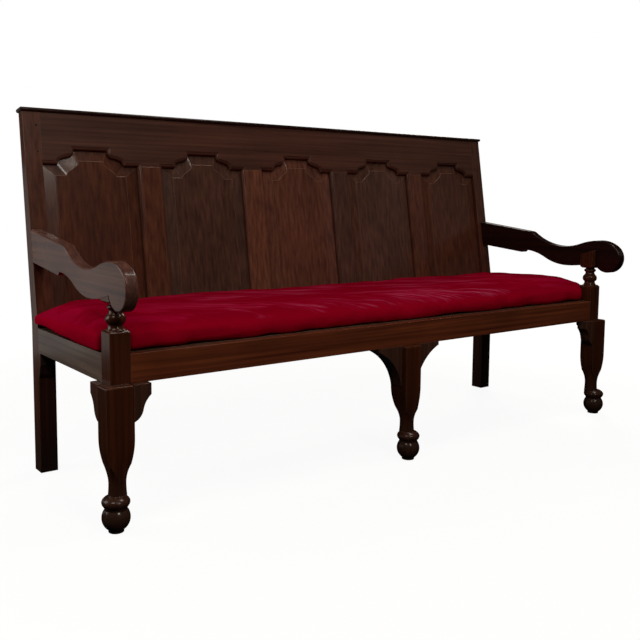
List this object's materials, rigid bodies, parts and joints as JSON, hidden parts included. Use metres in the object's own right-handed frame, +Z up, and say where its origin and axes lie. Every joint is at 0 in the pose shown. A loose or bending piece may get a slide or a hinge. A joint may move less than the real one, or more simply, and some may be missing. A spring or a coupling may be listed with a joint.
{
  "type": "settle",
  "caption": "Joined oak settle with a raked back of ogee-arched fielded panels, scroll arms on turned supports, turned front legs and a loose velvet squab cushion.",
  "frame": {"origin": "on the floor under the middle of the settle", "axes": "+X along the length, to the right as seen from the front; +Y towards the back; +Z up"},
  "size_m": [1.877, 0.689, 0.994],
  "materials": {
    "polished_oak": "dark stain, wax polish",
    "plain_oak": "sawn, unpolished",
    "velvet": "short pile"
  },
  "bodies": {
    "frame": {"arm_left": "polished_oak", "arm_right": "polished_oak", "back_ear_left": "polished_oak", "back_ear_right": "polished_oak", "back_pegs": "polished_oak", "cap_moulding": "polished_oak", "centre_ear_left": "polished_oak", "centre_ear_right": "polished_oak", "centre_leg": "polished_oak", "front_ear_left": "polished_oak", "front_ear_right": "polished_oak", "front_leg_left": "polished_oak", "front_leg_right": "polished_oak", "front_seat_rail": "polished_oak", "muntin_1": "polished_oak", "muntin_2": "polished_oak", "muntin_3": "polished_oak", "muntin_4": "polished_oak", "panel_1": "polished_oak", "panel_2": "polished_oak", "panel_3": "polished_oak", "panel_4": "polished_oak", "panel_5": "polished_oak", "rear_seat_rail": "polished_oak", "rear_stile_left": "polished_oak", "rear_stile_right": "polished_oak", "seat_bearer": "plain_oak", "seat_board_1": "plain_oak", "seat_board_2": "plain_oak", "seat_board_3": "plain_oak", "seat_board_4": "plain_oak", "seat_board_5": "plain_oak", "seat_board_6": "plain_oak", "seat_board_7": "plain_oak", "seat_board_8": "plain_oak", "seat_board_9": "plain_oak", "seat_pegs": "polished_oak", "side_ear_left": "polished_oak", "side_ear_right": "polished_oak", "side_seat_rail_left": "polished_oak", "side_seat_rail_right": "polished_oak", "top_rail": "polished_oak"},
    "cushion": {"cushion": "velvet"}
  },
  "joints": [
    {"name": "cushion_lift", "type": "slide", "parent": "frame", "child": "cushion", "axis": [0, 0, 1], "range_m": [0, 0.045]}
  ]
}
